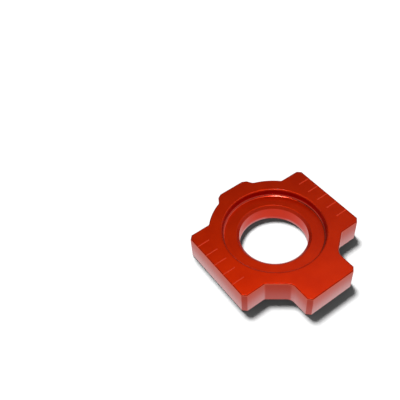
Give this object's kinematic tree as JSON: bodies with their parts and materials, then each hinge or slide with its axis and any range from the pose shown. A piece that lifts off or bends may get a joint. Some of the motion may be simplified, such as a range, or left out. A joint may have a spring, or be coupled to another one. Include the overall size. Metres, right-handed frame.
{
  "type": "motorcycle chain adjuster",
  "caption": "Milled plate with a stepped axle bore, an adjuster pad, a rear tab and graduated guide edges; it sets a motorcycle's rear axle and chain tension.",
  "frame": {"origin": "where the axle's line meets the inner face, which lies against the swingarm", "axes": "+Z along the axle, out of the recessed outer face; +X from the adjuster pad towards the rear tab; +Y and -Y across the guide edges"},
  "size_m": [0.0558, 0.0528, 0.01],
  "materials": {
    "anodised_aluminium": "orange-red anodised, satin"
  },
  "bodies": {
    "root": {"axle_block": "anodised_aluminium"}
  },
  "joints": []
}
